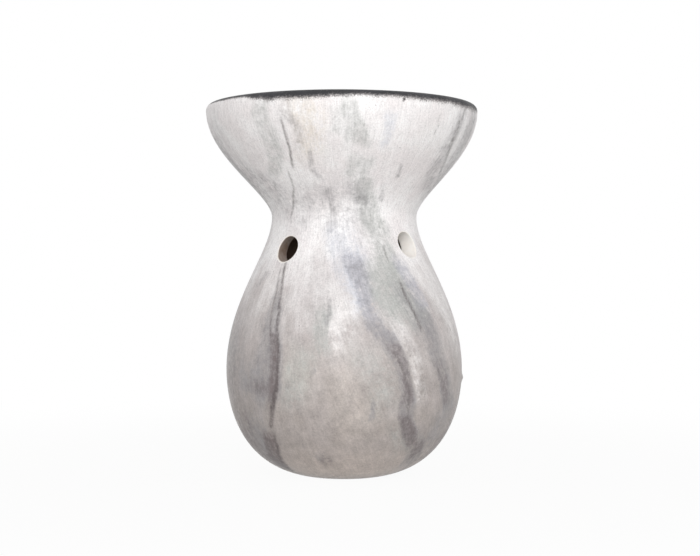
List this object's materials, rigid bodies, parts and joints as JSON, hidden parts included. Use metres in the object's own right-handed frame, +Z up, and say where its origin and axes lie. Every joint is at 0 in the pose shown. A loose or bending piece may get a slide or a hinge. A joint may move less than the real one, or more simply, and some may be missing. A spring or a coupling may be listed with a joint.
{
  "type": "essential oil burner",
  "caption": "Pear-shaped marbled ceramic oil burner: a flared oil bowl on a hollow body with two smoke vents in the front of its neck and a doorway at the back for the tealight that warms the bowl.",
  "frame": {"origin": "middle of the foot, on the surface that the burner stands on", "axes": "+Z up along the axis of the bowl and body, -Y towards the front, +Y out through the doorway at the back"},
  "size_m": [0.0884, 0.0884, 0.12],
  "materials": {
    "marbled_glaze": "satin glaze, warm off-white marbled with grey, over stoneware; the bowl is dark inside and along its rim",
    "cup_aluminium": "bright drawn foil",
    "white_wax": "paraffin wax, slightly translucent",
    "wick_cotton": "braided cotton, waxed",
    "sustainer_tinplate": "thin stamped tinplate"
  },
  "bodies": {
    "burner": {"burner_body": "marbled_glaze", "oil_bowl": "marbled_glaze"},
    "tealight": {"tealight_cup": "cup_aluminium", "tealight_wax": "white_wax", "tealight_wick": "wick_cotton", "wick_sustainer": "sustainer_tinplate"}
  },
  "joints": [
    {"name": "tealight_slide", "type": "slide", "parent": "burner", "child": "tealight", "axis": [0, 1, 0], "range_m": [0, 0.075]}
  ]
}
